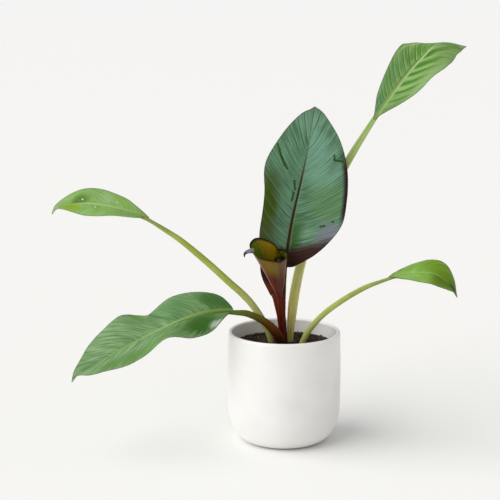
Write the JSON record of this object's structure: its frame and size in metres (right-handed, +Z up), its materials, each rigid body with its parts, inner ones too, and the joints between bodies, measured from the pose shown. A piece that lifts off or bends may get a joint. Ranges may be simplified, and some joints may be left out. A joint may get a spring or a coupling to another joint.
{
  "type": "potted red abyssinian banana",
  "caption": "Young red-leaved banana plant in a round-bottomed white pot filled with potting mix: paddle-shaped leaves on long stalks round one upright leaf and a furled one.",
  "frame": {"origin": "centre of the pot's flat base", "axes": "+Z up, -Y towards the viewer of the picture, +X to that viewer's right"},
  "size_m": [0.4897, 0.2373, 0.451],
  "materials": {
    "pot_white": "satin",
    "potting_mix": "matte",
    "leaf_red_green": "satin",
    "leaf_furled_bronze": "satin",
    "leaf_green_deep": "satin",
    "leaf_green": "satin",
    "leaf_green_bright": "satin"
  },
  "bodies": {
    "root": {"pot": "pot_white", "soil": "potting_mix", "leaf_upright": "leaf_red_green", "leaf_furled": "leaf_furled_bronze", "leaf_low_left": "leaf_green_deep", "leaf_high_left": "leaf_green", "leaf_high_right": "leaf_green", "leaf_low_right": "leaf_green_bright"}
  },
  "joints": []
}
